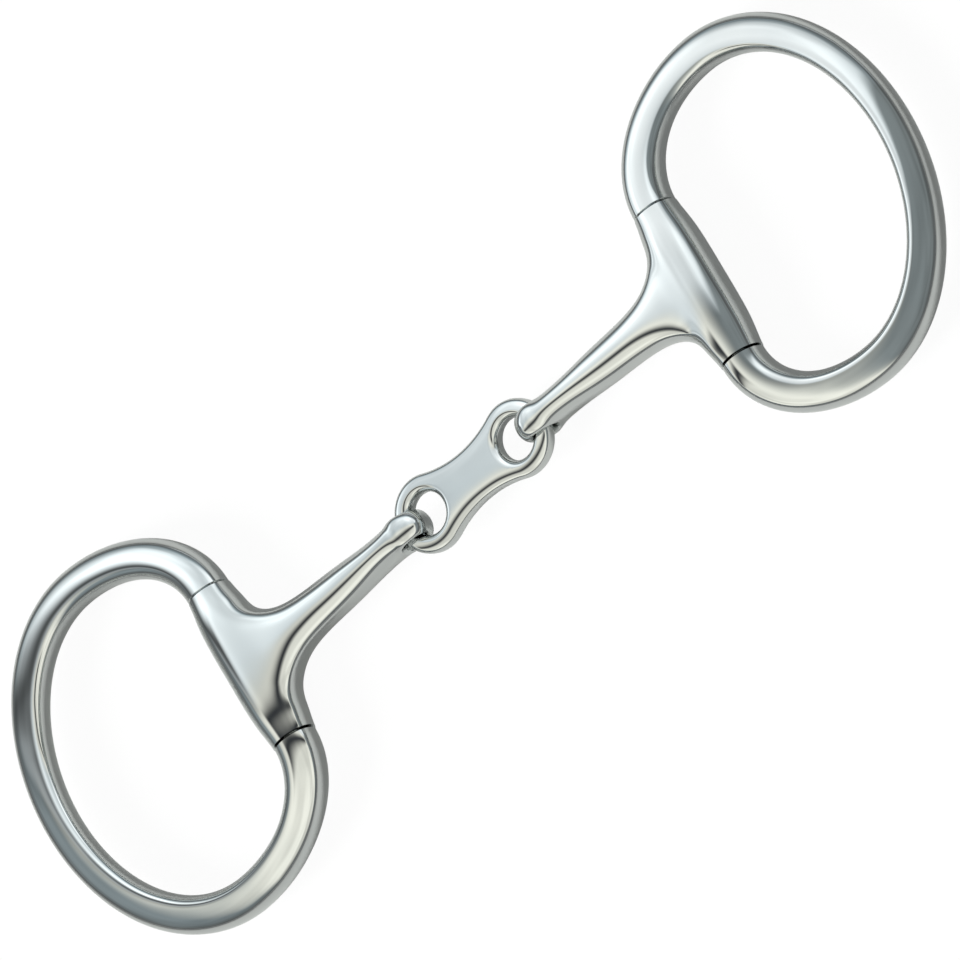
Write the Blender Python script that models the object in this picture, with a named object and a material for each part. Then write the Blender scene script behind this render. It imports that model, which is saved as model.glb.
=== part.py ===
"""Double-jointed snaffle bit with oval cheek rings, lying flat.

Five loose pieces of polished steel: a centre link with two holes, two cannons
that each end in an eye round the link and in a bored barrel, and two oval
cheek rings whose ends are pins that turn in the barrels.

X runs along the mouthpiece, Y along the barrels and Z is up. Metres.
"""

from math import asin, cos, pi, sin, sqrt, tau

import bmesh
import bpy
from mathutils import Matrix, Vector

# Mouthpiece
MOUTHPIECE_WIDTH = 0.1270        # between the two barrels, where the mouth sits
CANNON_WIDTH = 0.0095            # across the middle of a cannon
CANNON_HEIGHT = 0.0095
CANNON_ROOT_FLARE = 1.06         # how much wider a cannon starts at the fillet
NECK_WIDTH = 0.0069              # across a cannon just before its eye

# Barrels at the cheek ends of the cannons
BARREL_LENGTH = 0.0374
BARREL_END_RADIUS = 0.00495
BARREL_SWELL = 0.00115           # the belly of a barrel over its ends
BARREL_SLOPE = 0.6               # how much of the belly is left on the way to an end
FILLET_REACH = 0.0072            # from the barrel's surface along the cannon
FILLET_SPREAD = 0.0200           # along the barrel, either way
FILLET_FLARE = 1.10              # how much the barrel bulges towards the cannon
BORE_RADIUS = 0.00305
PIN_CLEARANCE = 0.00006          # radial, between a ring's pin and its bore
PIN_END_GAP = 0.0030             # between the tips of the two pins in a barrel
SEAM_GAP = 0.0003                # between a ring's shoulder and the barrel's end

# Eyes at the middle ends of the cannons
EYE_WALL = 0.00245
EYE_HOLE_RADIUS = 0.00295
EYE_CROTCH = 0.92                # where the arms part, from the eye's middle, in eye radii
EYE_WIDTH = 0.0066
EYE_DOME = 0.35                  # how far the widest place of the eye's bar sits inwards
EYE_SHOULDER = 0.40              # radians by which the arms lean towards the cannon
EYE_NOSE = 0.14                  # how much narrower the eye is at its far end

# Centre link
LINK_HOLE_SPACING = 0.0272
LINK_HOLE_RADIUS = 0.0046
LINK_END_WALL = 0.0040
LINK_THICKNESS = 0.0048
LINK_WAIST = 0.0118
LINK_EDGE_ROUND = 0.0020
LINK_HOLE_ROUND = 0.0020
EYE_SEAT_GAP = 0.0003            # under the link's end bar, where it sits in the eye

# Cheek rings, measured to the middle of the bar
RING_DEPTH = 0.0592              # from the barrel's axis to the far side
RING_CROWN = 0.0272              # from the barrel's axis to the widest place
RING_HALF_HEIGHT = 0.0396
RING_CROWN_BAR = (0.0086, 0.0084)    # width and thickness at the widest place
RING_FAR_BAR = (0.0079, 0.0078)      # width and thickness at the far side
RING_SQUARENESS = 2.2            # 2 is an ellipse, more is fuller in the corners
SHOULDER_TAPER = 1.4             # how fast the bar thins from the shoulder to the widest place
SHOULDER_CHAMFER = 0.0003

# Facets
ROUND_STEPS = 20
RING_STEPS = 10                  # stations on each quarter of a cheek ring
LINK_STEPS = 8                   # on each head of the link, per quarter
ROUNDING_STEPS = 3               # across a rounded edge
SUBDIVISIONS = 2
# A closed cubic spline on an octagon lies this far inside its corners.
CAGE_SHRINK = (2 + cos(tau / 8)) / 3

# Places that follow from the sizes
BARREL_RADIUS = BARREL_END_RADIUS + BARREL_SWELL
BARREL_X = MOUTHPIECE_WIDTH / 2 + BARREL_RADIUS
BARREL_Z = BARREL_RADIUS
PIN_RADIUS = BORE_RADIUS - PIN_CLEARANCE
EYE_RADIUS = EYE_HOLE_RADIUS + EYE_WALL
EYE_X = LINK_HOLE_SPACING / 2 + LINK_HOLE_RADIUS + LINK_END_WALL / 2
LINK_Z = BARREL_Z
EYE_Z = LINK_Z + EYE_HOLE_RADIUS - EYE_SEAT_GAP - LINK_THICKNESS / 2
CANNON_LENGTH = sqrt((BARREL_X - EYE_X) ** 2 + (EYE_Z - BARREL_Z) ** 2)
CANNON_LEAN = asin((EYE_Z - BARREL_Z) / CANNON_LENGTH)


def clear_scene():
    for item in list(bpy.data.objects):
        bpy.data.objects.remove(item, do_unlink=True)


def steel(name, shade):
    material = bpy.data.materials.new(name)
    material.use_nodes = True
    shader = material.node_tree.nodes["Principled BSDF"]
    shader.inputs["Base Color"].default_value = (shade, shade, shade * 1.02, 1.0)
    shader.inputs["Metallic"].default_value = 1.0
    shader.inputs["Roughness"].default_value = 0.12
    return material


def mesh_object(name, bm, placing=Matrix(), pivot=Vector()):
    """Put the mesh in its place in the world, with the object's origin on its pivot."""
    bmesh.ops.transform(bm, matrix=Matrix.Translation(-pivot) @ placing, verts=bm.verts)
    bmesh.ops.recalc_face_normals(bm, faces=bm.faces)
    mesh = bpy.data.meshes.new(name)
    bm.to_mesh(mesh)
    bm.free()
    for face in mesh.polygons:
        face.use_smooth = True
    item = bpy.data.objects.new(name, mesh)
    item.location = pivot
    bpy.context.scene.collection.objects.link(item)
    return item


def bridge(bm, rings):
    """Join rings of vertices by quads; each ring has the same number of vertices."""
    for near, far in zip(rings, rings[1:]):
        count = len(near)
        for i in range(count):
            j = (i + 1) % count
            bm.faces.new((near[i], near[j], far[j], far[i]))


def loft(rings_of_points):
    """A closed solid through rings of points, with flat ends."""
    bm = bmesh.new()
    rings = [[bm.verts.new(point) for point in ring] for ring in rings_of_points]
    bridge(bm, rings)
    bm.faces.new(rings[0])
    bm.faces.new(rings[-1])
    return bm


def revolve_about_y(profile, steps):
    """A closed solid from (y, radius) points, turned about the Y axis."""
    rings = []
    for y, radius in profile:
        ring = []
        for i in range(steps):
            angle = tau * i / steps
            ring.append((radius * cos(angle), y, radius * sin(angle)))
        rings.append(ring)
    return loft(rings)


def cut(item, cutter):
    """Take the cutter out of the item and throw the cutter away."""
    cutter.hide_render = True
    cutter.display_type = "WIRE"
    modifier = item.modifiers.new("cut", "BOOLEAN")
    modifier.operation = "DIFFERENCE"
    modifier.solver = "EXACT"
    modifier.object = cutter
    apply_modifiers(item)
    bpy.data.objects.remove(cutter, do_unlink=True)


def apply_modifiers(item):
    bpy.context.view_layer.update()
    shape = item.evaluated_get(bpy.context.evaluated_depsgraph_get())
    mesh = bpy.data.meshes.new_from_object(shape)
    old = item.data
    item.modifiers.clear()
    item.data = mesh
    mesh.name = item.name
    bpy.data.meshes.remove(old)


# --- centre link -----------------------------------------------------------


def link_outline(steps):
    """Two round heads joined by hollow flanks that touch both heads."""
    head = LINK_HOLE_RADIUS + LINK_END_WALL
    reach = LINK_HOLE_SPACING / 2
    waist = LINK_WAIST / 2
    flank = (reach ** 2 + waist ** 2 - head ** 2) / (2 * (head - waist))
    flank_y = waist + flank
    touch = asin(reach / (head + flank))
    quarter = []
    for i in range(steps + 1):
        angle = (pi / 2 + touch) * i / steps
        quarter.append((reach + head * cos(angle), head * sin(angle)))
    for i in range(1, steps // 2 + 1):
        angle = touch * (1 - i / (steps // 2))
        quarter.append((flank * sin(angle), flank_y - flank * cos(angle)))
    mirrored = [(-x, y) for x, y in reversed(quarter[:-1])]
    upper = quarter + mirrored
    lower = [(x, -y) for x, y in reversed(upper[1:-1])]
    return upper + lower


def centre_link():
    half = LINK_THICKNESS / 2
    bm = bmesh.new()
    outline = [bm.verts.new((x, y, -half)) for x, y in link_outline(LINK_STEPS)]
    base = bm.faces.new(outline)
    raised = bmesh.ops.extrude_face_region(bm, geom=[base])
    top = [part for part in raised["geom"] if isinstance(part, bmesh.types.BMVert)]
    bmesh.ops.translate(bm, verts=top, vec=(0, 0, LINK_THICKNESS))
    rims = [edge for edge in bm.edges if abs(edge.verts[0].co.z - edge.verts[1].co.z) < 1e-6]
    bmesh.ops.bevel(
        bm,
        geom=rims,
        offset=LINK_EDGE_ROUND,
        segments=ROUNDING_STEPS,
        profile=0.5,
        affect="EDGES",
    )
    place = Matrix.Translation((0, 0, LINK_Z))
    link = mesh_object("centre_link", bm, place, Vector((0, 0, LINK_Z)))
    for side in (-1, 1):
        cut(link, link_hole(side))
    link.data.materials.append(steel("link_steel", 0.78))
    return link


def link_hole(side):
    """A round cutter whose ends flare, so that the hole gets rounded rims."""
    half = LINK_THICKNESS / 2
    straight = half - LINK_HOLE_ROUND
    upper = []
    for i in range(ROUNDING_STEPS + 1):
        angle = pi / 2 * i / ROUNDING_STEPS
        flare = LINK_HOLE_ROUND * (1 - cos(angle))
        upper.append((straight + LINK_HOLE_ROUND * sin(angle), LINK_HOLE_RADIUS + flare))
    upper.append((half + LINK_HOLE_ROUND, LINK_HOLE_RADIUS + LINK_HOLE_ROUND))
    lower = [(-y, radius) for y, radius in reversed(upper)]
    bm = revolve_about_y(lower + upper, ROUND_STEPS)
    upright = Matrix.Rotation(pi / 2, 4, "X")
    place = Matrix.Translation((side * LINK_HOLE_SPACING / 2, 0, LINK_Z))
    return mesh_object("hole", bm, place @ upright)


# --- cannons ---------------------------------------------------------------


def octagon(width, height):
    """Corners of the cage round a bar, starting at +Y and going over the top."""
    corners = []
    for i in range(8):
        angle = tau * i / 8
        y = width / 2 * cos(angle) / CAGE_SHRINK
        z = height / 2 * sin(angle) / CAGE_SHRINK
        corners.append((y, z))
    return corners


def cannon_stations():
    """Distance from the barrel's axis, width and height along a cannon."""
    root = BARREL_RADIUS + FILLET_REACH
    crotch = CANNON_LENGTH - EYE_RADIUS * EYE_CROTCH
    middle = (root + crotch) / 2
    neck = (middle + crotch) / 2
    return [
        (root, CANNON_WIDTH * CANNON_ROOT_FLARE, CANNON_HEIGHT),
        (middle, CANNON_WIDTH, CANNON_HEIGHT),
        (neck, (CANNON_WIDTH + 3 * NECK_WIDTH) / 4, (CANNON_HEIGHT + 2 * EYE_RADIUS) / 2),
        (crotch, NECK_WIDTH, 2 * EYE_RADIUS),
    ]


def eye_arm(bm, inner, outer, width):
    """Adds a section of the eye's bar: flat towards the hole and domed on the outside."""
    middle = (inner + outer) / 2
    half = (outer - inner) / 2
    ring = []
    for i in range(8):
        angle = tau * i / 8
        outward = sin(angle) - EYE_DOME * cos(angle) ** 2
        place = middle + half * outward
        y = width / 2 * cos(angle) / CAGE_SHRINK
        ring.append(bm.verts.new((place.x - CANNON_LENGTH, y, place.y)))
    return ring


def eye_cage(bm, crotch):
    """Splits the cannon's last ring into two arms that meet again round the eye's hole."""
    middle = (EYE_HOLE_RADIUS + EYE_WALL / 2) / CAGE_SHRINK
    half = EYE_WALL / 2 / CAGE_SHRINK ** 2
    inside = []
    for i in (5, 6, 7):
        angle = tau * i / 8
        reach = middle + half * (sin(angle) - EYE_DOME * cos(angle) ** 2)
        y = EYE_WIDTH / 2 * cos(angle) / CAGE_SHRINK
        inside.append(bm.verts.new((reach - CANNON_LENGTH, y, 0.0)))
    upper = [crotch[i] for i in (0, 1, 2, 3, 4)] + inside
    lower = [crotch[i] for i in (0, 7, 6, 5, 4)] + inside

    arms = [upper]
    for k in range(1, 8):
        turn = tau * k / 8
        lean = EYE_SHOULDER if cos(turn) > 0.1 else 0.0
        out = turn + (lean if k < 4 else -lean)
        inner = Vector((cos(turn), sin(turn))) * (middle - half)
        outer = Vector((cos(out), sin(out))) * (middle + half * (1 - lean / 2))
        narrow = 1 - EYE_NOSE * max(0.0, -cos(turn))
        arms.append(eye_arm(bm, inner, outer, EYE_WIDTH * narrow))
    arms.append(lower)
    bridge(bm, arms)


def cannon_cage():
    """The smooth cage of a cannon: a barrel along Y and a bar towards -X."""
    bm = bmesh.new()
    half = BARREL_LENGTH / 2
    spread = FILLET_SPREAD / 2
    overrun = half + 2 * SEAM_GAP + BARREL_END_RADIUS
    stations = [
        (-overrun, BARREL_END_RADIUS),
        (-half, BARREL_END_RADIUS),
        (-(half + spread) / 2, BARREL_END_RADIUS + BARREL_SWELL * BARREL_SLOPE),
        (-spread, BARREL_RADIUS),
        (0.0, BARREL_RADIUS),
        (spread, BARREL_RADIUS),
        ((half + spread) / 2, BARREL_END_RADIUS + BARREL_SWELL * BARREL_SLOPE),
        (half, BARREL_END_RADIUS),
        (overrun, BARREL_END_RADIUS),
    ]
    barrel = []
    for y, radius in stations:
        ring = []
        flare = FILLET_FLARE if abs(y) < half else 1.0
        for x, z in octagon(2 * radius, 2 * radius):
            ring.append(bm.verts.new((x * flare if x < 0 else x, y, z)))
        barrel.append(ring)
    middle = len(stations) // 2
    for n, (near, far) in enumerate(zip(barrel, barrel[1:])):
        for i in range(8):
            opens_to_bar = n in (middle - 1, middle) and i in (3, 4)
            if not opens_to_bar:
                j = (i + 1) % 8
                bm.faces.new((near[i], near[j], far[j], far[i]))
    bm.faces.new(barrel[0])
    bm.faces.new(barrel[-1])

    back, centre, front = barrel[middle - 1], barrel[middle], barrel[middle + 1]
    mouth = [front[4], front[3], centre[3], back[3], back[4], back[5], centre[5], front[5]]
    rings = [mouth]
    for reach, width, height in cannon_stations():
        ring = [bm.verts.new((-reach, y, z)) for y, z in octagon(width, height)]
        rings.append(ring)
    bridge(bm, rings)
    eye_cage(bm, rings[-1])
    return bm


def bore_cutter(place):
    half = BARREL_LENGTH / 2 + BARREL_END_RADIUS
    bm = revolve_about_y([(-half, BORE_RADIUS), (half, BORE_RADIUS)], ROUND_STEPS)
    return mesh_object("bore_cutter", bm, place)


def end_cutter(place, end):
    """A block beyond one end of the barrel, which cuts that end square."""
    depth = BARREL_LENGTH
    size = 4 * BARREL_RADIUS
    bm = bmesh.new()
    bmesh.ops.create_cube(bm, size=1.0)
    bmesh.ops.scale(bm, vec=(size, depth, size), verts=bm.verts)
    bmesh.ops.translate(bm, vec=(0, end * (BARREL_LENGTH + depth) / 2, 0), verts=bm.verts)
    return mesh_object("end_cutter", bm, place)


def cheek_placing(side, lean=0.0):
    """From the shape of the +X side, barrel at the origin, to its place in the part."""
    turn = Matrix.Rotation(lean, 4, "Y")
    mirror = Matrix.Diagonal((side, 1, 1, 1))
    return Matrix.Translation((side * BARREL_X, 0, BARREL_Z)) @ mirror @ turn


def cannon(name, side):
    place = cheek_placing(side, CANNON_LEAN)
    pivot = Vector((side * EYE_X, 0, LINK_Z))
    item = mesh_object(name, cannon_cage(), place, pivot)
    smooth = item.modifiers.new("smooth", "SUBSURF")
    smooth.levels = SUBDIVISIONS
    smooth.render_levels = SUBDIVISIONS
    apply_modifiers(item)
    for end in (-1, 1):
        cut(item, end_cutter(place, end))
    cut(item, bore_cutter(place))
    item.data.materials.append(steel(name + "_steel", 0.74))
    return item


# --- cheek rings -----------------------------------------------------------


def ring_path():
    """Half of a ring from its shoulder to its far side: middle, outward way, bar size.

    Two quarters of ellipses meet at the crown, where the ring is widest.
    """
    shoulder = BARREL_LENGTH / 2 + SEAM_GAP
    rise = RING_HALF_HEIGHT - shoulder
    far_reach = RING_DEPTH - RING_CROWN
    shoulder_bar = (2 * BARREL_END_RADIUS, 2 * BARREL_END_RADIUS)
    path = []
    for i in range(RING_STEPS + 1):
        t = i / RING_STEPS
        angle = pi / 2 * t
        middle = Vector((RING_CROWN * (1 - cos(angle)), shoulder + rise * sin(angle), 0))
        outward = Vector((-rise * cos(angle), RING_CROWN * sin(angle), 0)).normalized()
        early = min(1.0, SHOULDER_TAPER * t)
        path.append((middle, outward, blend(shoulder_bar, RING_CROWN_BAR, early), 1 - t))
    for i in range(1, RING_STEPS + 1):
        t = i / RING_STEPS
        angle = pi / 2 * t
        middle = Vector(
            (RING_CROWN + far_reach * sin(angle), RING_HALF_HEIGHT * cos(angle), 0)
        )
        outward = Vector(
            (RING_HALF_HEIGHT * sin(angle), far_reach * cos(angle), 0)
        ).normalized()
        path.append((middle, outward, blend(RING_CROWN_BAR, RING_FAR_BAR, t), 0.0))
    return path


def blend(first, second, t):
    ease = t * t * (3 - 2 * t)
    return tuple(a + (b - a) * ease for a, b in zip(first, second))


def bar_section(middle, outward, size, roundness):
    """A ring of points round the bar; roundness 1 is a circle, 0 the fuller form."""
    power = 2 / (RING_SQUARENESS + (2 - RING_SQUARENESS) * roundness)
    points = []
    for i in range(ROUND_STEPS):
        angle = tau * i / ROUND_STEPS
        across = abs(cos(angle)) ** power * (1 if cos(angle) > 0 else -1)
        up = abs(sin(angle)) ** power * (1 if sin(angle) > 0 else -1)
        point = middle + outward * (size[0] / 2 * across)
        points.append(point + Vector((0, 0, size[1] / 2 * up)))
    return points


def pin_sections():
    """The pin from its tip to the shoulder face, as sections round the barrel's axis."""
    outward = Vector((-1, 0, 0))
    tip = PIN_END_GAP / 2
    shoulder = BARREL_LENGTH / 2 + SEAM_GAP
    chamfer = SHOULDER_CHAMFER
    profile = [
        (tip, PIN_RADIUS - chamfer),
        (tip + chamfer, PIN_RADIUS),
        (shoulder, PIN_RADIUS),
        (shoulder, BARREL_END_RADIUS - chamfer),
    ]
    sections = []
    for y, radius in profile:
        middle = Vector((0, y, 0))
        sections.append(bar_section(middle, outward, (2 * radius, 2 * radius), 1.0))
    return sections


def cheek_ring(name, side):
    half = pin_sections()
    shoulder = len(half)
    for middle, outward, size, roundness in ring_path():
        half.append(bar_section(middle, outward, size, roundness))
    half[shoulder] = [point + Vector((0, SHOULDER_CHAMFER, 0)) for point in half[shoulder]]
    far_half = [[Vector((p.x, -p.y, p.z)) for p in ring] for ring in reversed(half[:-1])]
    bm = loft(half + far_half)
    place = cheek_placing(side)
    pivot = Vector((side * BARREL_X, 0, BARREL_Z))
    item = mesh_object(name, bm, place, pivot)
    item.data.materials.append(steel(name + "_steel", 0.70))
    return item


def build():
    clear_scene()
    centre_link()
    cannon("left_cannon", -1)
    cannon("right_cannon", 1)
    cheek_ring("left_cheek_ring", -1)
    cheek_ring("right_cheek_ring", 1)


build()
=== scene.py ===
"""Polished steel snaffle bit on a white table, seen from above and to one side.

All five pieces of the CAD frame are replaced by finer ones of the same shape, and the
link's flat faces by slightly domed ones.
X runs along the mouthpiece, Y along the barrels and Z is up. Metres.
"""

from math import asin, cos, pi, radians, sin, sqrt, tau

import bmesh
import bpy
from mathutils import Matrix, Vector


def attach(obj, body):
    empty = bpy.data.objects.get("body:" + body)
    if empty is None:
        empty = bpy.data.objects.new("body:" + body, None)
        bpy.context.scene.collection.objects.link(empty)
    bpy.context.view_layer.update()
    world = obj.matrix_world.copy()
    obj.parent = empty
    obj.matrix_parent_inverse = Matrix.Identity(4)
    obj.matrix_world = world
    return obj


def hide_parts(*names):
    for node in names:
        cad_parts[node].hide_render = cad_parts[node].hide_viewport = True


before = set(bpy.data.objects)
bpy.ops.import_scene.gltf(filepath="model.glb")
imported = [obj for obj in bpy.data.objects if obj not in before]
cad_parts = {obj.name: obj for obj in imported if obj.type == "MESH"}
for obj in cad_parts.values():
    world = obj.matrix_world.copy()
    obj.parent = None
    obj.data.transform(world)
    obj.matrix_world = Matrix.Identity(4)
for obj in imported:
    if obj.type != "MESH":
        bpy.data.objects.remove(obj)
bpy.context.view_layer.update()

# --- sizes, as in the CAD frame ----------------------------------------------

MOUTHPIECE_WIDTH = 0.1270
CANNON_WIDTH = 0.0095
CANNON_HEIGHT = 0.0095
NECK_WIDTH = 0.0069
BARREL_LENGTH = 0.0374
BARREL_END_RADIUS = 0.00495
BARREL_SWELL = 0.00115
FILLET_REACH = 0.0072
FILLET_SPREAD = 0.0200
FILLET_FLARE = 1.10              # how much the barrel bulges towards the cannon
BARREL_SLOPE = 0.6               # how much of the swell is left on the way to an end
CANNON_ROOT_FLARE = 1.06         # how much wider a cannon starts at the fillet
BORE_RADIUS = 0.00305
PIN_CLEARANCE = 0.00006
PIN_END_GAP = 0.0030
SEAM_GAP = 0.0003
EYE_WALL = 0.00245
EYE_HOLE_RADIUS = 0.00295
EYE_WIDTH = 0.0066
EYE_CROTCH = 0.92                # where the arms part, from the eye's middle, in eye radii
EYE_DOME = 0.35                  # how far the widest place of the eye's bar sits inwards
EYE_SHOULDER = 0.40              # radians by which the arms lean towards the cannon
EYE_NOSE = 0.14                  # how much narrower the eye is at its far end
LINK_HOLE_SPACING = 0.0272
LINK_HOLE_RADIUS = 0.0046
LINK_END_WALL = 0.0040
LINK_THICKNESS = 0.0048
LINK_WAIST = 0.0118
LINK_HOLE_ROUND = 0.0020
LINK_CROWN = 0.0050              # how far inwards the dome of the link's faces runs on
LINK_FULLNESS = 3.3              # of the dome: 2 is an ellipse, more is flatter on top
EYE_SEAT_GAP = 0.0003
RING_DEPTH = 0.0592
RING_CROWN = 0.0272
RING_HALF_HEIGHT = 0.0396
RING_CROWN_BAR = (0.0086, 0.0084)
RING_FAR_BAR = (0.0079, 0.0078)
RING_SQUARENESS = 2.2
SHOULDER_TAPER = 1.4             # how fast the bar thins from the shoulder to the widest place
SHOULDER_CHAMFER = 0.0003

ROUND_STEPS = 96
RING_STEPS = 56
LINK_STEPS = 40
ROUNDING_STEPS = 10
CROWN_STEPS = 22
SUBDIVISIONS = 4
CAGE_SIDES = 8                   # corners of each ring of the cannon's cage
CAGE_SHRINK = (2 + cos(tau / CAGE_SIDES)) / 3     # what smoothing leaves of its width
SHARP_ANGLE = radians(40)

BARREL_RADIUS = BARREL_END_RADIUS + BARREL_SWELL
BARREL_X = MOUTHPIECE_WIDTH / 2 + BARREL_RADIUS
BARREL_Z = BARREL_RADIUS
PIN_RADIUS = BORE_RADIUS - PIN_CLEARANCE
EYE_RADIUS = EYE_HOLE_RADIUS + EYE_WALL
EYE_X = LINK_HOLE_SPACING / 2 + LINK_HOLE_RADIUS + LINK_END_WALL / 2
LINK_Z = BARREL_Z
EYE_Z = LINK_Z + EYE_HOLE_RADIUS - EYE_SEAT_GAP - LINK_THICKNESS / 2
CANNON_LENGTH = sqrt((BARREL_X - EYE_X) ** 2 + (EYE_Z - BARREL_Z) ** 2)
CANNON_LEAN = asin((EYE_Z - BARREL_Z) / CANNON_LENGTH)

# --- the photograph's view ----------------------------------------------------

FRAME_PIXELS = 960
PIXELS_PER_METRE = 4730.0
CENTRE_PIXEL = (473.8, 475.9)    # where the middle of the object shows
CENTRE_HEIGHT = 0.0064
TILT = radians(33.6)             # from straight above towards the picture's right
HEADING = radians(35.7)          # of the mouthpiece in the picture's plane
ROLL = radians(0.3)
LENS = 1200.0
SENSOR = 36.0
VIEW_END = 100.0

# --- steel: sizes in patches per metre of the part ------------------------------------

STEEL_TONES = ((0.550, 0.572, 0.568, 1.0), (0.588, 0.608, 0.600, 1.0))
TONE_PATCHES = 60.0
TONE_EDGES = (0.3, 0.7)
HAZE_PATCHES = 160.0
HAZE_EDGES = (0.35, 0.75)
CLEAR_ROUGHNESS = 0.035
HAZY_ROUGHNESS = 0.085
# Two sets of fine lines, one along the mouthpiece and one across: how dense they are
# along each axis, and how they are turned.
SCRATCHES = ((900, 12000, 9000), (0.3, 0.2, 0.5))
CROSS_SCRATCHES = ((10000, 1100, 9000), (0.1, 0.7, 0.2))
SCRATCH_EDGES = (0.66, 0.78)
SCRATCH_ROUGHNESS = 0.05
WAVE_PATCHES = 70.0
WAVE_DEPTH = 0.00025

# --- light, as the steel mirrors it: lengths in metres, levels where 1 is white --------

WHITE = 1.06                     # plain white, just past the level at which it clips
FLOOR_SIZE = 4.0                 # half its width
FLOOR_DROP = 0.0002              # below the part, which rests at 0
FLOOR_PAINT = (0.885, 0.900, 0.870, 1.0)
FLOOR_CLEARNESS = 0.88           # how far the camera sees through it to the white world
FLOOR_GLOW = 0.11                # share of plain white in it, for the camera and the steel
FLOOR_REACH = (0.125, 0.045)     # about as far as the part reaches along X and Y
PAINTED_LIGHT_POOL = (0.0, 0.12)         # past that reach, where the painted pool of light on the table fades
# Level of the painted pool of light on the table, far from the part
PAINTED_POOL_FAR_LEVEL = 0.35
SKY_LEVEL = 0.26                 # what lights the floor from all round
SUN_STRENGTH = 3.6
SUN_RISE = radians(28)
SUN_SPREAD = radians(32)

CANOPY_HEIGHT = 0.045
CANOPY_SIZE = 0.55               # half its width
CANOPY_FADE = (0.10, 0.34)       # from this distance to that one it darkens outwards
CANOPY_FAR_COLOR = (0.17, 0.18, 0.18, 1.0)
CANOPY_PATCHES = 16.0            # soft patches per metre
PATCH_EDGES = (0.3, 0.7)
CANOPY_UNEVENNESS = 0.22
# The bright field starts at this Y and further back towards either side.
FIELD_EDGE = 0.006
FIELD_SOFTNESS = 0.007
FIELD_RIGHT_TURN = (0.100, 0.5)  # where its edge starts to draw back, and how steeply
FIELD_LEFT_TURN = (-0.110, 0.6)
FIELD_COLOR = (0.38, 0.46, 0.50, 1.0)
# Two soft lamps shine through the field: middle, reach and colour.
RIGHT_LAMP = ((0.065, 0.048), (0.090, 0.050), (1.50, 1.47, 1.46, 1.0))
LEFT_LAMP = ((-0.110, 0.045), (0.062, 0.065), (1.65, 1.68, 1.70, 1.0))
FAR_RIGHT = (0.13, 0.30)         # from X to X, where the field turns to its far colour
FAR_RIGHT_COLOR = (0.52, 0.62, 0.68, 1.0)
# In front of it: a grey wall, a cream one in the middle and a darker grey one.
LEFT_WALL_COLOR = (0.33, 0.385, 0.41, 1.0)
CREAM_WALL = ((-0.145, -0.105), (0.045, 0.090))   # how it comes in and goes out along X
CREAM_COLOR = (1.26, 1.24, 1.13, 1.0)
RIGHT_WALL_COLOR = (0.29, 0.325, 0.335, 1.0)
# A dark gap runs between the field and the walls.
GAP_MIDDLE = -0.011
GAP_HALF = 0.0125
GAP_ENDS = (-0.088, 0.040)
GAP_DARKNESS = 0.97
GAP_COLOR = (0.02, 0.025, 0.035, 1.0)
# On the left a dark wedge lies over the field's edge.
WEDGE_START = (-0.110, -0.084)   # from X to X, where it fades out
WEDGE_MIDDLE = 0.016             # behind the field's edge
WEDGE_HALF = 0.036
WEDGE_DARKNESS = 0.93

# The room round the tent: its colour turns with the X of the way one looks, and one
# bright opening lies in the way given, with an edge between two cosines.
HORIZON_TURN = (0.1, 0.5)
HORIZON_RIGHT_COLOR = (0.22, 0.23, 0.235, 1.0)
HORIZON_LEFT_COLOR = (0.30, 0.31, 0.315, 1.0)
HORIZON_LOBE_COLOR = (0.75, 0.80, 0.84, 1.0)
HORIZON_LOBE_WAY = (0.60, 0.80, 0.0)
HORIZON_LOBE_EDGE = (0.90, 0.985)


# --- mesh helpers --------------------------------------------------------------


def mesh_object(name, bm, placing):
    """Turns the mesh being built into a placed object with smooth faces."""
    bmesh.ops.transform(bm, matrix=placing, verts=bm.verts)
    bmesh.ops.recalc_face_normals(bm, faces=bm.faces)
    mesh = bpy.data.meshes.new(name)
    bm.to_mesh(mesh)
    bm.free()
    for face in mesh.polygons:
        face.use_smooth = True
    item = bpy.data.objects.new(name, mesh)
    bpy.context.scene.collection.objects.link(item)
    return item


def bridge(bm, rings):
    """Joins rings of as many points each by a band of faces from one to the next."""
    for near, far in zip(rings, rings[1:]):
        count = len(near)
        for i in range(count):
            j = (i + 1) % count
            bm.faces.new((near[i], near[j], far[j], far[i]))


def loft(rings_of_points):
    """A closed body through the rings, with a flat face over each end."""
    bm = bmesh.new()
    rings = [[bm.verts.new(point) for point in ring] for ring in rings_of_points]
    bridge(bm, rings)
    bm.faces.new(rings[0])
    bm.faces.new(rings[-1])
    return bm


def revolve_about_y(profile, steps):
    """A closed body from pairs of a place along Y and the radius there."""
    rings = []
    for y, radius in profile:
        ring = []
        for i in range(steps):
            angle = tau * i / steps
            ring.append((radius * cos(angle), y, radius * sin(angle)))
        rings.append(ring)
    return loft(rings)


def apply_modifiers(item):
    """Replaces the object's mesh by what its modifiers make of it."""
    bpy.context.view_layer.update()
    shape = item.evaluated_get(bpy.context.evaluated_depsgraph_get())
    mesh = bpy.data.meshes.new_from_object(shape)
    old = item.data
    item.modifiers.clear()
    item.data = mesh
    mesh.name = item.name
    bpy.data.meshes.remove(old)


def cut(item, cutter):
    """Takes the cutter's shape out of the object, and the cutter out of the scene."""
    modifier = item.modifiers.new("cut", "BOOLEAN")
    modifier.operation = "DIFFERENCE"
    modifier.solver = "EXACT"
    modifier.object = cutter
    apply_modifiers(item)
    bpy.data.objects.remove(cutter, do_unlink=True)


def sharpen(item):
    item.data.set_sharp_from_angle(angle=SHARP_ANGLE)


# --- centre link ---------------------------------------------------------------


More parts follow.
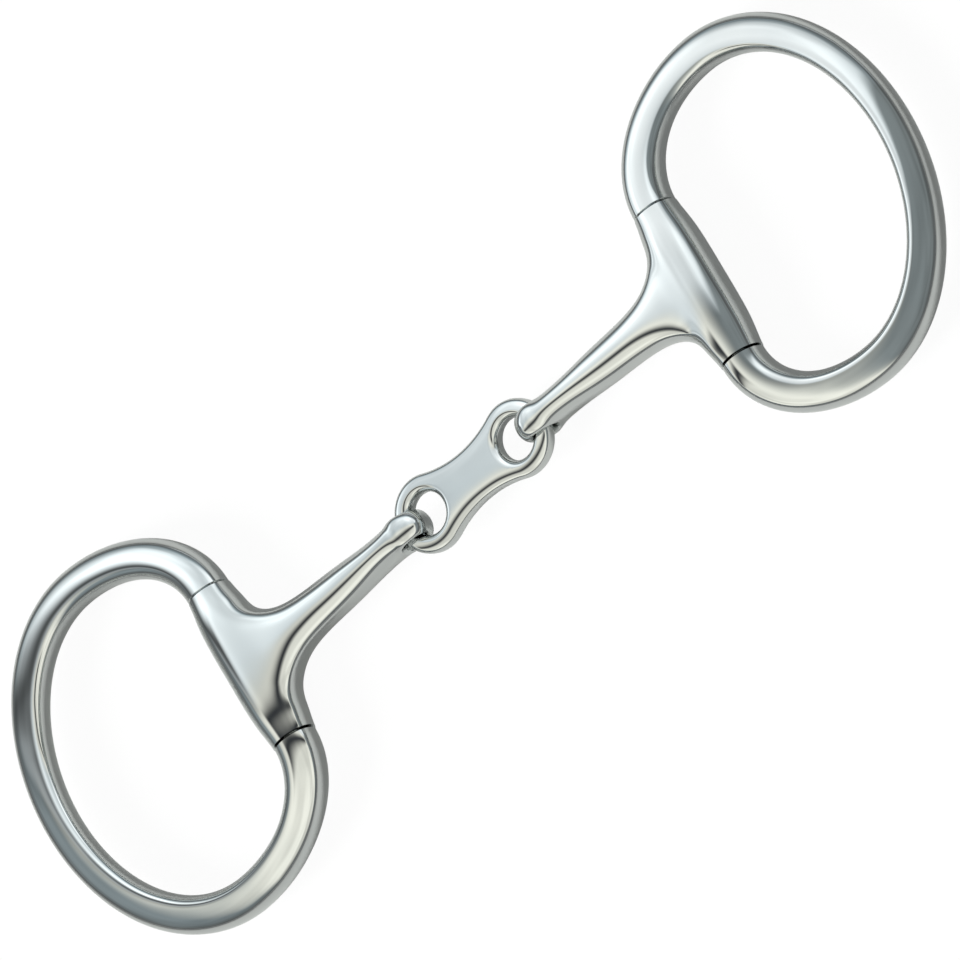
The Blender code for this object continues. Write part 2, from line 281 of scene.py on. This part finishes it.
def link_outline(steps, inset):
    """Two round heads joined by hollow flanks that touch both heads, drawn in by the inset."""
    head = LINK_HOLE_RADIUS + LINK_END_WALL
    reach = LINK_HOLE_SPACING / 2
    waist = LINK_WAIST / 2
    flank = (reach ** 2 + waist ** 2 - head ** 2) / (2 * (head - waist))
    flank_y = waist + flank
    touch = asin(reach / (head + flank))
    head -= inset
    flank += inset
    quarter = []
    for i in range(steps + 1):
        angle = (pi / 2 + touch) * i / steps
        quarter.append((reach + head * cos(angle), head * sin(angle)))
    for i in range(1, steps // 2 + 1):
        angle = touch * (1 - i / (steps // 2))
        quarter.append((flank * sin(angle), flank_y - flank * cos(angle)))
    mirrored = [(-x, y) for x, y in reversed(quarter[:-1])]
    upper = quarter + mirrored
    lower = [(x, -y) for x, y in reversed(upper[1:-1])]
    return upper + lower


def link_hole(side):
    """The cutter for one hole: straight in the middle and flared round towards both faces."""
    half = LINK_THICKNESS / 2
    straight = half - LINK_HOLE_ROUND
    upper = []
    for i in range(ROUNDING_STEPS + 1):
        angle = pi / 2 * i / ROUNDING_STEPS
        flare = LINK_HOLE_ROUND * (1 - cos(angle))
        upper.append((straight + LINK_HOLE_ROUND * sin(angle), LINK_HOLE_RADIUS + flare))
    upper.append((half + LINK_HOLE_ROUND, LINK_HOLE_RADIUS + LINK_HOLE_ROUND))
    lower = [(-y, radius) for y, radius in reversed(upper)]
    bm = revolve_about_y(lower + upper, ROUND_STEPS)
    upright = Matrix.Rotation(pi / 2, 4, "X")
    place = Matrix.Translation((side * LINK_HOLE_SPACING / 2, 0, LINK_Z))
    return mesh_object("hole", bm, place @ upright)


def centre_link():
    """Sections of a superellipse, drawn in upwards: round edges that run on into domed faces."""
    half = LINK_THICKNESS / 2
    upper = []
    for i in range(1, CROWN_STEPS + 1):
        angle = pi / 2 * i / CROWN_STEPS
        inset = LINK_CROWN * (1 - cos(angle) ** (2 / LINK_FULLNESS))
        upper.append((inset, half * sin(angle) ** (2 / LINK_FULLNESS)))
    lower = [(inset, -z) for inset, z in reversed(upper)]
    rings = []
    for inset, z in lower + [(0.0, 0.0)] + upper:
        rings.append([(x, y, z) for x, y in link_outline(LINK_STEPS, inset)])
    link = mesh_object("link_body", loft(rings), Matrix.Translation((0, 0, LINK_Z)))
    for side in (-1, 1):
        cut(link, link_hole(side))
    sharpen(link)
    return link


# --- cannons ---------------------------------------------------------------------


def octagon(width, height):
    """Corners of a cage ring that smooths to an oval of this width and height."""
    corners = []
    for i in range(CAGE_SIDES):
        angle = tau * i / CAGE_SIDES
        y = width / 2 * cos(angle) / CAGE_SHRINK
        z = height / 2 * sin(angle) / CAGE_SHRINK
        corners.append((y, z))
    return corners


def cannon_stations():
    """Distance from the barrel's axis, width and height along a cannon."""
    root = BARREL_RADIUS + FILLET_REACH
    crotch = CANNON_LENGTH - EYE_RADIUS * EYE_CROTCH
    middle = (root + crotch) / 2
    neck = (middle + crotch) / 2
    return [
        (root, CANNON_WIDTH * CANNON_ROOT_FLARE, CANNON_HEIGHT),
        (middle, CANNON_WIDTH, CANNON_HEIGHT),
        (neck, (CANNON_WIDTH + 3 * NECK_WIDTH) / 4, (CANNON_HEIGHT + 2 * EYE_RADIUS) / 2),
        (crotch, NECK_WIDTH, 2 * EYE_RADIUS),
    ]


def eye_arm(bm, inner, outer, width):
    """Adds a section of the eye's bar: flat towards the hole and domed on the outside."""
    middle = (inner + outer) / 2
    half = (outer - inner) / 2
    ring = []
    for i in range(CAGE_SIDES):
        angle = tau * i / CAGE_SIDES
        outward = sin(angle) - EYE_DOME * cos(angle) ** 2
        place = middle + half * outward
        y = width / 2 * cos(angle) / CAGE_SHRINK
        ring.append(bm.verts.new((place.x - CANNON_LENGTH, y, place.y)))
    return ring


def eye_cage(bm, crotch):
    """Splits the cannon's last ring into two arms that meet again round the eye's hole."""
    middle = (EYE_HOLE_RADIUS + EYE_WALL / 2) / CAGE_SHRINK
    half = EYE_WALL / 2 / CAGE_SHRINK ** 2
    inside = []
    for i in (5, 6, 7):          # the corners of the eye's bar that face the hole
        angle = tau * i / CAGE_SIDES
        reach = middle + half * (sin(angle) - EYE_DOME * cos(angle) ** 2)
        y = EYE_WIDTH / 2 * cos(angle) / CAGE_SHRINK
        inside.append(bm.verts.new((reach - CANNON_LENGTH, y, 0.0)))
    upper = [crotch[i] for i in (0, 1, 2, 3, 4)] + inside
    lower = [crotch[i] for i in (0, 7, 6, 5, 4)] + inside

    arms = [upper]
    last = CAGE_SIDES - 1
    for k in range(1, last + 1):
        turn = tau * k / CAGE_SIDES
        lean = EYE_SHOULDER if k in (1, last) else 0.0
        out = turn - lean if k == last else turn + lean
        inner = Vector((cos(turn), sin(turn))) * (middle - half)
        outer = Vector((cos(out), sin(out))) * (middle + half * (1 - lean / 2))
        narrow = 1 - EYE_NOSE * max(0.0, -cos(turn))
        arms.append(eye_arm(bm, inner, outer, EYE_WIDTH * narrow))
    arms.append(lower)
    bridge(bm, arms)


def barrel_stations():
    """Places along the barrel and its radius there, past both ends, which are cut off later."""
    half = BARREL_LENGTH / 2
    spread = FILLET_SPREAD / 2
    overrun = half + 2 * SEAM_GAP + BARREL_END_RADIUS
    slope_radius = BARREL_END_RADIUS + BARREL_SWELL * BARREL_SLOPE
    return [
        (-overrun, BARREL_END_RADIUS),
        (-half, BARREL_END_RADIUS),
        (-(half + spread) / 2, slope_radius),
        (-spread, BARREL_RADIUS),
        (0.0, BARREL_RADIUS),
        (spread, BARREL_RADIUS),
        ((half + spread) / 2, slope_radius),
        (half, BARREL_END_RADIUS),
        (overrun, BARREL_END_RADIUS),
    ]


def barrel_cage(bm):
    """Adds the barrel, open in the middle of its side, and gives the ring round the opening."""
    barrel = []
    for y, radius in barrel_stations():
        ring = []
        flare = FILLET_FLARE if abs(y) < BARREL_LENGTH / 2 else 1.0
        for x, z in octagon(2 * radius, 2 * radius):
            ring.append(bm.verts.new((x * flare if x < 0 else x, y, z)))
        barrel.append(ring)
    middle = len(barrel) // 2
    for n, (near, far) in enumerate(zip(barrel, barrel[1:])):
        for i in range(CAGE_SIDES):
            opens_to_bar = n in (middle - 1, middle) and i in (3, 4)
            if not opens_to_bar:
                j = (i + 1) % CAGE_SIDES
                bm.faces.new((near[i], near[j], far[j], far[i]))
    bm.faces.new(barrel[0])
    bm.faces.new(barrel[-1])
    back, centre, front = barrel[middle - 1:middle + 2]
    return [front[4], front[3], centre[3], back[3], back[4], back[5], centre[5], front[5]]


def cannon_cage():
    """The cannon's cage, with the barrel along Y and the bar towards -X."""
    bm = bmesh.new()
    rings = [barrel_cage(bm)]
    for reach, width, height in cannon_stations():
        ring = [bm.verts.new((-reach, y, z)) for y, z in octagon(width, height)]
        rings.append(ring)
    bridge(bm, rings)
    eye_cage(bm, rings[-1])
    return bm


def bore_cutter(place):
    half = BARREL_LENGTH / 2 + BARREL_END_RADIUS
    bm = revolve_about_y([(-half, BORE_RADIUS), (half, BORE_RADIUS)], ROUND_STEPS)
    return mesh_object("bore_cutter", bm, place)


def end_cutter(place, end):
    """A block that cuts the barrel square at one end."""
    depth = BARREL_LENGTH
    size = 4 * BARREL_RADIUS
    bm = bmesh.new()
    bmesh.ops.create_cube(bm, size=1.0)
    bmesh.ops.scale(bm, vec=(size, depth, size), verts=bm.verts)
    bmesh.ops.translate(bm, vec=(0, end * (BARREL_LENGTH + depth) / 2, 0), verts=bm.verts)
    return mesh_object("end_cutter", bm, place)


def cheek_placing(side, lean=0.0):
    """From a shape with the mouthpiece towards -X, round the barrel's axis, to its side."""
    turn = Matrix.Rotation(lean, 4, "Y")
    mirror = Matrix.Diagonal((side, 1, 1, 1))
    return Matrix.Translation((side * BARREL_X, 0, BARREL_Z)) @ mirror @ turn


def cannon(name, side):
    """A smoothed cage, cut square at the barrel's ends and bored for the ring's pins."""
    place = cheek_placing(side, CANNON_LEAN)
    item = mesh_object(name, cannon_cage(), place)
    smooth = item.modifiers.new("smooth", "SUBSURF")
    smooth.levels = SUBDIVISIONS
    smooth.render_levels = SUBDIVISIONS
    apply_modifiers(item)
    for end in (-1, 1):
        cut(item, end_cutter(place, end))
    cut(item, bore_cutter(place))
    sharpen(item)
    return item


# --- cheek rings -------------------------------------------------------------------


def ring_path():
    """Half of the ring's bar, from the shoulder to the far side, along two quarter ellipses.

    Each station has its middle, the way outwards, the bar's size and how round it is.
    """
    shoulder = BARREL_LENGTH / 2 + SEAM_GAP
    rise = RING_HALF_HEIGHT - shoulder
    far_reach = RING_DEPTH - RING_CROWN
    shoulder_bar = (2 * BARREL_END_RADIUS, 2 * BARREL_END_RADIUS)
    path = []
    for i in range(RING_STEPS + 1):
        t = i / RING_STEPS
        angle = pi / 2 * t
        middle = Vector((RING_CROWN * (1 - cos(angle)), shoulder + rise * sin(angle), 0))
        outward = Vector((-rise * cos(angle), RING_CROWN * sin(angle), 0)).normalized()
        early = min(1.0, SHOULDER_TAPER * t)
        path.append((middle, outward, blend(shoulder_bar, RING_CROWN_BAR, early), 1 - t))
    for i in range(1, RING_STEPS + 1):
        t = i / RING_STEPS
        angle = pi / 2 * t
        middle = Vector((RING_CROWN + far_reach * sin(angle), RING_HALF_HEIGHT * cos(angle), 0))
        outward = Vector((RING_HALF_HEIGHT * sin(angle), far_reach * cos(angle), 0)).normalized()
        path.append((middle, outward, blend(RING_CROWN_BAR, RING_FAR_BAR, t), 0.0))
    return path


def blend(first, second, t):
    """Pairs between the first and the second, with a smooth start and end."""
    ease = t * t * (3 - 2 * t)
    return tuple(a + (b - a) * ease for a, b in zip(first, second))


def bar_section(middle, outward, size, roundness):
    """Points round the bar: an ellipse at roundness 1 and a fuller oval at 0."""
    power = 2 / (RING_SQUARENESS + (2 - RING_SQUARENESS) * roundness)
    points = []
    for i in range(ROUND_STEPS):
        angle = tau * i / ROUND_STEPS
        across = abs(cos(angle)) ** power * (1 if cos(angle) > 0 else -1)
        up = abs(sin(angle)) ** power * (1 if sin(angle) > 0 else -1)
        point = middle + outward * (size[0] / 2 * across)
        points.append(point + Vector((0, 0, size[1] / 2 * up)))
    return points


def pin_sections():
    """Sections of the pin inside the barrel and of the square shoulder at the seam."""
    outward = Vector((-1, 0, 0))
    tip = PIN_END_GAP / 2
    shoulder = BARREL_LENGTH / 2 + SEAM_GAP
    chamfer = SHOULDER_CHAMFER
    profile = [
        (tip, PIN_RADIUS - chamfer),
        (tip + chamfer, PIN_RADIUS),
        (shoulder, PIN_RADIUS),
        (shoulder, BARREL_END_RADIUS - chamfer),
    ]
    sections = []
    for y, radius in profile:
        middle = Vector((0, y, 0))
        sections.append(bar_section(middle, outward, (2 * radius, 2 * radius), 1.0))
    return sections


def cheek_ring(name, side):
    """One loft from pin to pin: half of the sections, then their mirror images."""
    half = pin_sections()
    shoulder = len(half)
    for middle, outward, size, roundness in ring_path():
        half.append(bar_section(middle, outward, size, roundness))
    half[shoulder] = [point + Vector((0, SHOULDER_CHAMFER, 0)) for point in half[shoulder]]
    far_half = [[Vector((p.x, -p.y, p.z)) for p in ring] for ring in reversed(half[:-1])]
    bm = loft(half + far_half)
    item = mesh_object(name, bm, cheek_placing(side))
    sharpen(item)
    return item


# --- material ------------------------------------------------------------------------


class Nodes:
    """Short ways to add and link the nodes of one node tree."""

    def __init__(self, tree):
        self.tree = tree

    def add(self, kind, **settings):
        node = self.tree.nodes.new(kind)
        for name, value in settings.items():
            setattr(node, name, value)
        return node

    def put(self, value, socket):
        if isinstance(value, bpy.types.NodeSocket):
            self.tree.links.new(value, socket)
        else:
            socket.default_value = value

    def math(self, operation, first, second=0.0, third=0.0):
        node = self.add("ShaderNodeMath", operation=operation)
        for value, socket in zip((first, second, third), node.inputs):
            self.put(value, socket)
        return node.outputs[0]

    def step(self, value, start, end, low=0.0, high=1.0):
        """Runs smoothly from low to high while the value goes from start to end."""
        node = self.add("ShaderNodeMapRange", interpolation_type="SMOOTHSTEP")
        for given, socket in zip((value, start, end, low, high), node.inputs):
            self.put(given, socket)
        return node.outputs[0]

    def mix(self, factor, first, second):
        node = self.add("ShaderNodeMix", data_type="RGBA")
        self.put(factor, node.inputs[0])
        self.put(first, node.inputs[6])
        self.put(second, node.inputs[7])
        return node.outputs[2]

    def scale_color(self, color, level):
        """A fixed colour times a level."""
        node = self.add("ShaderNodeVectorMath", operation="SCALE")
        node.inputs[0].default_value = color[:3]
        self.put(level, node.inputs["Scale"])
        return node.outputs["Vector"]

    def add_color(self, first, second):
        """The sum of two colours, each given by its three levels or by another node."""
        node = self.add("ShaderNodeVectorMath", operation="ADD")
        self.put(first, node.inputs[0])
        self.put(second, node.inputs[1])
        return node.outputs["Vector"]

    def mix_shader(self, factor, first, second):
        node = self.add("ShaderNodeMixShader")
        for given, socket in zip((factor, first, second), node.inputs):
            self.put(given, socket)
        return node.outputs[0]

    def axes(self, vector):
        """The X and Y of a vector."""
        node = self.add("ShaderNodeSeparateXYZ")
        self.put(vector, node.inputs[0])
        return node.outputs["X"], node.outputs["Y"]

    def noise(self, vector, scale, detail, roughness=0.5):
        node = self.add("ShaderNodeTexNoise")
        self.put(vector, node.inputs["Vector"])
        self.put(scale, node.inputs["Scale"])
        self.put(detail, node.inputs["Detail"])
        self.put(roughness, node.inputs["Roughness"])
        return node.outputs["Fac"]

    def scaled(self, vector, scale, turn):
        node = self.add("ShaderNodeMapping")
        self.put(vector, node.inputs["Vector"])
        node.inputs["Scale"].default_value = scale
        node.inputs["Rotation"].default_value = turn
        return node.outputs["Vector"]


def grey(level):
    return (level, level, level, 1.0)


def steel(name):
    """Hand-polished stainless steel: clear, with faint haze, fine scratches and soft waves."""
    material = bpy.data.materials.new(name)
    material.use_nodes = True
    nodes = Nodes(material.node_tree)
    shader = material.node_tree.nodes["Principled BSDF"]
    shader.inputs["Metallic"].default_value = 1.0
    place = nodes.add("ShaderNodeTexCoord").outputs["Object"]

    haze = nodes.noise(place, HAZE_PATCHES, detail=4.0, roughness=0.6)
    scratches = nodes.noise(nodes.scaled(place, *SCRATCHES), 1.0, detail=2.0)
    crossing = nodes.noise(nodes.scaled(place, *CROSS_SCRATCHES), 1.0, detail=2.0)
    marks = nodes.step(nodes.math("MAXIMUM", scratches, crossing), *SCRATCH_EDGES)
    rough = nodes.step(haze, *HAZE_EDGES, CLEAR_ROUGHNESS, HAZY_ROUGHNESS)
    rough = nodes.math("MULTIPLY_ADD", marks, SCRATCH_ROUGHNESS, rough)
    nodes.put(rough, shader.inputs["Roughness"])

    tone = nodes.step(nodes.noise(place, TONE_PATCHES, detail=2.0), *TONE_EDGES)
    nodes.put(nodes.mix(tone, *STEEL_TONES), shader.inputs["Base Color"])

    bump = nodes.add("ShaderNodeBump")
    bump.inputs["Strength"].default_value = 1.0
    bump.inputs["Distance"].default_value = WAVE_DEPTH
    nodes.put(nodes.noise(place, WAVE_PATCHES, detail=1.0), bump.inputs["Height"])
    nodes.put(bump.outputs["Normal"], shader.inputs["Normal"])
    return material


# --- stage -----------------------------------------------------------------------------


def picture_axes():
    """Unit vectors of the picture's right, its up, and the way to the camera."""
    sideways = Vector((cos(HEADING), -sin(HEADING), 0))
    up = Vector((sin(HEADING), cos(HEADING), 0))
    level = sideways * cos(TILT) - Vector((0, 0, sin(TILT)))
    right = level * cos(ROLL) + up * sin(ROLL)
    up = up * cos(ROLL) - level * sin(ROLL)
    return right, up, right.cross(up)


def add_camera():
    """A very long lens, at the distance where the part has its size in the photograph."""
    right, up, toward = picture_axes()
    data = bpy.data.cameras.new("camera")
    data.lens = LENS
    data.sensor_width = SENSOR
    data.clip_end = VIEW_END
    half_width = FRAME_PIXELS / PIXELS_PER_METRE / 2
    distance = half_width / (SENSOR / 2 / LENS)
    middle = FRAME_PIXELS / 2
    across = (middle - CENTRE_PIXEL[0]) / PIXELS_PER_METRE
    above = (CENTRE_PIXEL[1] - middle) / PIXELS_PER_METRE
    aim = Vector((0, 0, CENTRE_HEIGHT)) + right * across + up * above
    camera = bpy.data.objects.new("camera", data)
    turn = Matrix((right, up, toward)).transposed().to_4x4()
    camera.matrix_world = Matrix.Translation(aim + toward * distance) @ turn
    bpy.context.scene.collection.objects.link(camera)
    bpy.context.scene.camera = camera


def stage_plane(name, half_size, height):
    """A level square on the stage, with an empty material and short ways to fill it."""
    bm = bmesh.new()
    bmesh.ops.create_grid(bm, x_segments=1, y_segments=1, size=half_size)
    plane = mesh_object(name, bm, Matrix.Translation((0, 0, height)))
    material = bpy.data.materials.new(name)
    material.use_nodes = True
    material.node_tree.nodes.clear()
    plane.data.materials.append(material)
    return plane, Nodes(material.node_tree)


def show(nodes, shader):
    output = nodes.add("ShaderNodeOutputMaterial")
    nodes.put(shader, output.inputs["Surface"])


def glow(nodes, color, strength):
    node = nodes.add("ShaderNodeEmission")
    nodes.put(color, node.inputs["Color"])
    nodes.put(strength, node.inputs["Strength"])
    return node.outputs[0]


def position(nodes):
    return nodes.add("ShaderNodeNewGeometry").outputs["Position"]


def seen_rays(nodes, path):
    """1 for the rays that see the background: from the camera, in metal or in glass."""
    seen = nodes.math("MAXIMUM", path.outputs["Is Camera Ray"], path.outputs["Is Glossy Ray"])
    return nodes.math("MAXIMUM", seen, path.outputs["Is Transmission Ray"])


def distance_past_part(nodes):
    """How far a place on the table lies outside the part's reach."""
    past = []
    for place, reach in zip(nodes.axes(position(nodes)), FLOOR_REACH):
        outside = nodes.math("SUBTRACT", nodes.math("ABSOLUTE", place), reach)
        past.append(nodes.math("MAXIMUM", outside, 0.0))
    across, along = past
    square = nodes.math("MULTIPLY_ADD", across, across, nodes.math("MULTIPLY", along, along))
    return nodes.math("SQRT", square)


def add_floor():
    """A white table with a painted pool of light round the part: its paint and glow darken away
    from the part as the steel sees it.

    The camera sees through it to the plain white world, but for a faint shadow, so that a
    part which folds down below the table stays in sight.
    """
    _, nodes = stage_plane("floor", FLOOR_SIZE, -FLOOR_DROP)
    path = nodes.add("ShaderNodeLightPath")
    camera_ray = path.outputs["Is Camera Ray"]
    # Painted pool of light: the table's paint and glow fade with distance from the part, except
    # to the camera.
    level = nodes.step(distance_past_part(nodes), *PAINTED_LIGHT_POOL, 1.0, PAINTED_POOL_FAR_LEVEL)
    level = nodes.math("MAXIMUM", level, camera_ray)
    paint = nodes.add("ShaderNodeBsdfDiffuse")
    nodes.put(nodes.mix(level, grey(0.0), FLOOR_PAINT), paint.inputs["Color"])
    light = glow(nodes, grey(1.0), nodes.math("MULTIPLY", level, WHITE))
    share = nodes.math("MULTIPLY", seen_rays(nodes, path), FLOOR_GLOW)
    table = nodes.mix_shader(share, paint.outputs[0], light)
    clear = nodes.add("ShaderNodeBsdfTransparent")
    clearness = nodes.math("MULTIPLY", camera_ray, FLOOR_CLEARNESS)
    show(nodes, nodes.mix_shader(clearness, table, clear.outputs[0]))


def add_sun():
    """A broad lamp low on the left that only the table shows, by the soft shadows on it."""
    data = bpy.data.lights.new("sun", "SUN")
    data.energy = SUN_STRENGTH
    data.angle = SUN_SPREAD
    sun = bpy.data.objects.new("sun", data)
    sun.rotation_euler = (0.0, -(pi / 2 - SUN_RISE), 0.0)
    sun.visible_glossy = False
    bpy.context.scene.collection.objects.link(sun)


def bump_shape(nodes, value, middle, half):
    """1 where the value is at the middle, falling softly to 0 at either side."""
    distance = nodes.math("ABSOLUTE", nodes.math("SUBTRACT", value, middle))
    return nodes.step(distance, 0.0, half, 1.0, 0.0)


def soft_lamp(nodes, x, y, lamp):
    """A round pool of light with the lamp's colour, which fades out at its reach."""
    (middle_x, middle_y), (reach_x, reach_y), color = lamp
    across = nodes.math("DIVIDE", nodes.math("SUBTRACT", x, middle_x), reach_x)
    along = nodes.math("DIVIDE", nodes.math("SUBTRACT", y, middle_y), reach_y)
    square = nodes.math("MULTIPLY_ADD", across, across, nodes.math("MULTIPLY", along, along))
    level = nodes.math("EXPONENT", nodes.math("MULTIPLY", square, -1.0))
    return nodes.scale_color(color, level)


def field_edge(nodes, x):
    """Where the bright field starts: level in the middle, drawn back at both ends."""
    right, right_slope = FIELD_RIGHT_TURN
    left, left_slope = FIELD_LEFT_TURN
    past_right = nodes.math("MAXIMUM", nodes.math("SUBTRACT", x, right), 0.0)
    past_left = nodes.math("MAXIMUM", nodes.math("SUBTRACT", left, x), 0.0)
    edge = nodes.math("MULTIPLY_ADD", past_right, right_slope, FIELD_EDGE)
    return nodes.math("MULTIPLY_ADD", past_left, left_slope, edge)


def bright_field(nodes, x, y):
    """Behind: a blue-grey field with two soft lamps."""
    lamps = nodes.add_color(soft_lamp(nodes, x, y, RIGHT_LAMP), soft_lamp(nodes, x, y, LEFT_LAMP))
    field = nodes.add_color(FIELD_COLOR[:3], lamps)
    return nodes.mix(nodes.step(x, *FAR_RIGHT), field, FAR_RIGHT_COLOR)


def low_walls(nodes, x, y):
    """In front: three walls side by side, with the dark gap along their back."""
    cream_in, cream_out = CREAM_WALL
    walls = nodes.mix(nodes.step(x, *cream_in), LEFT_WALL_COLOR, CREAM_COLOR)
    walls = nodes.mix(nodes.step(x, *cream_out), walls, RIGHT_WALL_COLOR)
    left, right = GAP_ENDS
    gap = bump_shape(nodes, y, GAP_MIDDLE, GAP_HALF)
    gap = nodes.math("MULTIPLY", gap, nodes.step(x, left - GAP_HALF, left))
    gap = nodes.math("MULTIPLY", gap, nodes.step(x, right, right + GAP_HALF, 1.0, 0.0))
    return nodes.mix(nodes.math("MULTIPLY", gap, GAP_DARKNESS), walls, GAP_COLOR)


def add_canopy():
    """The light tent close above, seen only in the steel."""
    canopy, nodes = stage_plane("canopy", CANOPY_SIZE, CANOPY_HEIGHT)
    canopy.visible_camera = False
    canopy.visible_diffuse = False
    canopy.visible_shadow = False
    place = position(nodes)
    x, y = nodes.axes(place)
    depth = nodes.math("SUBTRACT", y, field_edge(nodes, x))
    behind = nodes.step(depth, -FIELD_SOFTNESS, FIELD_SOFTNESS)
    color = nodes.mix(behind, low_walls(nodes, x, y), bright_field(nodes, x, y))

    wedge = bump_shape(nodes, depth, WEDGE_MIDDLE, WEDGE_HALF)
    wedge = nodes.math("MULTIPLY", wedge, nodes.step(x, *WEDGE_START, 1.0, 0.0))
    color = nodes.mix(nodes.math("MULTIPLY", wedge, WEDGE_DARKNESS), color, grey(0.0))

    far = nodes.add("ShaderNodeVectorMath", operation="LENGTH")
    nodes.put(place, far.inputs[0])
    color = nodes.mix(nodes.step(far.outputs["Value"], *CANOPY_FADE), color, CANOPY_FAR_COLOR)
    patches = nodes.noise(place, CANOPY_PATCHES, detail=2.0)
    level = nodes.step(patches, *PATCH_EDGES, 1 - CANOPY_UNEVENNESS, 1 + CANOPY_UNEVENNESS)
    show(nodes, glow(nodes, color, level))


def horizon(nodes):
    """The room low round the tent: lighter on the left, with one bright opening."""
    way = nodes.add("ShaderNodeTexCoord").outputs["Generated"]
    x, _ = nodes.axes(way)
    room = nodes.mix(nodes.step(x, *HORIZON_TURN), HORIZON_LEFT_COLOR, HORIZON_RIGHT_COLOR)
    toward = nodes.add("ShaderNodeVectorMath", operation="DOT_PRODUCT")
    nodes.put(way, toward.inputs[0])
    toward.inputs[1].default_value = HORIZON_LOBE_WAY
    lobe = nodes.step(toward.outputs["Value"], *HORIZON_LOBE_EDGE)
    return nodes.mix(lobe, room, HORIZON_LOBE_COLOR)


def add_world():
    """Plain white to the camera, the room to the steel, and a soft sky to the table."""
    world = bpy.data.worlds.new("studio")
    world.use_nodes = True
    world.node_tree.nodes.clear()
    nodes = Nodes(world.node_tree)
    path = nodes.add("ShaderNodeLightPath")
    color = nodes.mix(path.outputs["Is Glossy Ray"], grey(SKY_LEVEL), horizon(nodes))
    color = nodes.mix(path.outputs["Is Camera Ray"], color, grey(WHITE))
    back = nodes.add("ShaderNodeBackground")
    nodes.put(color, back.inputs["Color"])
    output = nodes.add("ShaderNodeOutputWorld")
    nodes.put(back.outputs[0], output.inputs["Surface"])
    bpy.context.scene.world = world


def build():
    """Makes the five pieces, ties each to its body and CAD node, and sets the stage."""
    pieces = [
        (centre_link(), "link", "centre_link", "link_steel"),
        (cannon("left_cannon_body", -1), "left_cannon", "left_cannon", "left_cannon_steel"),
        (cannon("right_cannon_body", 1), "right_cannon", "right_cannon", "right_cannon_steel"),
        (cheek_ring("left_ring_body", -1), "left_ring", "left_cheek_ring", "left_ring_steel"),
        (cheek_ring("right_ring_body", 1), "right_ring", "right_cheek_ring", "right_ring_steel"),
    ]
    for piece, body, node, slot in pieces:
        piece.data.materials.append(steel(slot))
        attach(piece, body)
        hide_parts(node)
    add_camera()
    add_floor()
    add_sun()
    add_canopy()
    add_world()
    bpy.context.scene.view_settings.view_transform = "Standard"


build()
